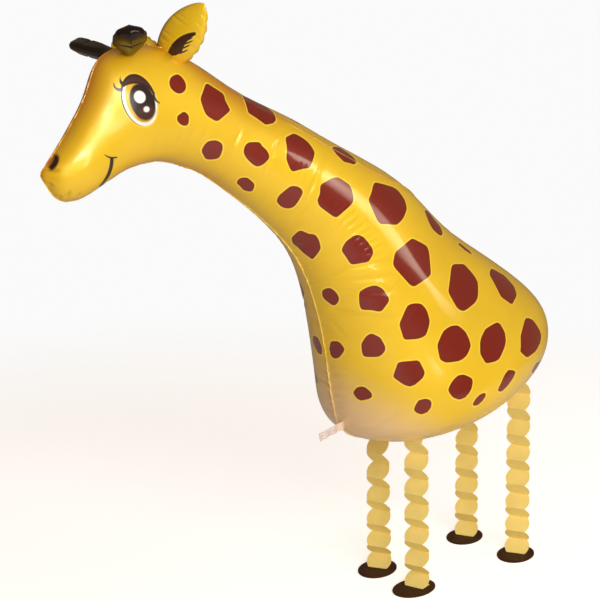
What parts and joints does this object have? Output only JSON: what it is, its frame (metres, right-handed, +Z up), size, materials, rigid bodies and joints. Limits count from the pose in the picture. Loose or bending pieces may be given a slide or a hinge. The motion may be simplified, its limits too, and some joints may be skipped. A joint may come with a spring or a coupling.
{
  "type": "giraffe foil balloon",
  "caption": "Air-filled foil balloon shaped as a giraffe, with printed spots and face, foil ears and horns, and folded card legs on flat oval card feet.",
  "frame": {"origin": "middle of the bounding box in X and Y, on the floor that the feet stand on", "axes": "+Z up, the giraffe faces -X, its left side faces -Y, and the foil envelope is alike on both sides of y = 0"},
  "size_m": [0.9174, 0.2926, 0.8693],
  "materials": {
    "printed_foil": "satin metallised film with printed red-brown spots",
    "dark_foil": "glossy metallised film printed black-brown, olive at the base",
    "clear_film": "clear glossy film",
    "yellow_card": "pale yellow matt card",
    "brown_card": "dark brown matt card"
  },
  "bodies": {
    "root": {"balloon_body": "printed_foil", "ear_left": "printed_foil", "ear_right": "printed_foil", "horn_left": "dark_foil", "horn_right": "dark_foil", "filler_tail": "clear_film", "leg_front_left": "yellow_card", "leg_front_right": "yellow_card", "leg_hind_left": "yellow_card", "leg_hind_right": "yellow_card", "foot_front_left": "brown_card", "foot_front_right": "brown_card", "foot_hind_left": "brown_card", "foot_hind_right": "brown_card"}
  },
  "joints": []
}
